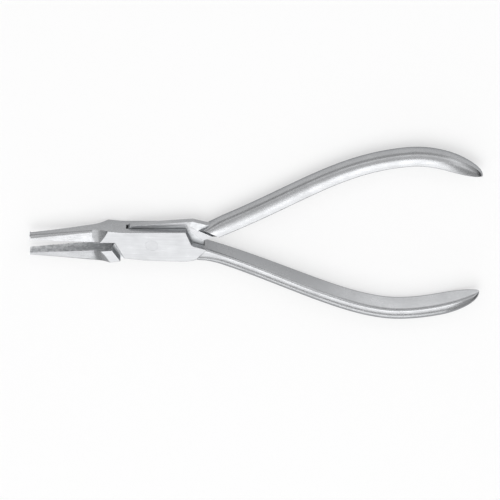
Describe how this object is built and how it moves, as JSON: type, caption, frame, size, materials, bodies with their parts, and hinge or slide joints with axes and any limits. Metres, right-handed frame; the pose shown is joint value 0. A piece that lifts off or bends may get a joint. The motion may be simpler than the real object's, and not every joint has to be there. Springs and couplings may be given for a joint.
{
  "type": "flat nose pliers",
  "caption": "Small flat nose pliers with diamond-cut jaws, a box joint and long curved steel handles.",
  "frame": {"origin": "on the joint's turning axis, at the flat back of the joint; the pliers lie flat and the handles' broad sides reach about 1 mm below it", "axes": "+X from the joint towards the handles, +Y towards the handle of the tongue half, +Z along the turning axis, out of the joint's front"},
  "size_m": [0.1301, 0.0588, 0.007],
  "materials": {
    "satin_steel": "satin, finely polished",
    "pin_steel": "ground flush"
  },
  "bodies": {
    "box_body": {"box_half": "satin_steel", "joint_pin": "pin_steel"},
    "tongue_body": {"tongue_half": "satin_steel"}
  },
  "joints": [
    {"name": "jaw_hinge", "type": "hinge", "parent": "box_body", "child": "tongue_body", "pos_m": [0, 0, 0.0031], "axis": [0, 0, 1], "range_deg": [-6.7, 20]}
  ]
}
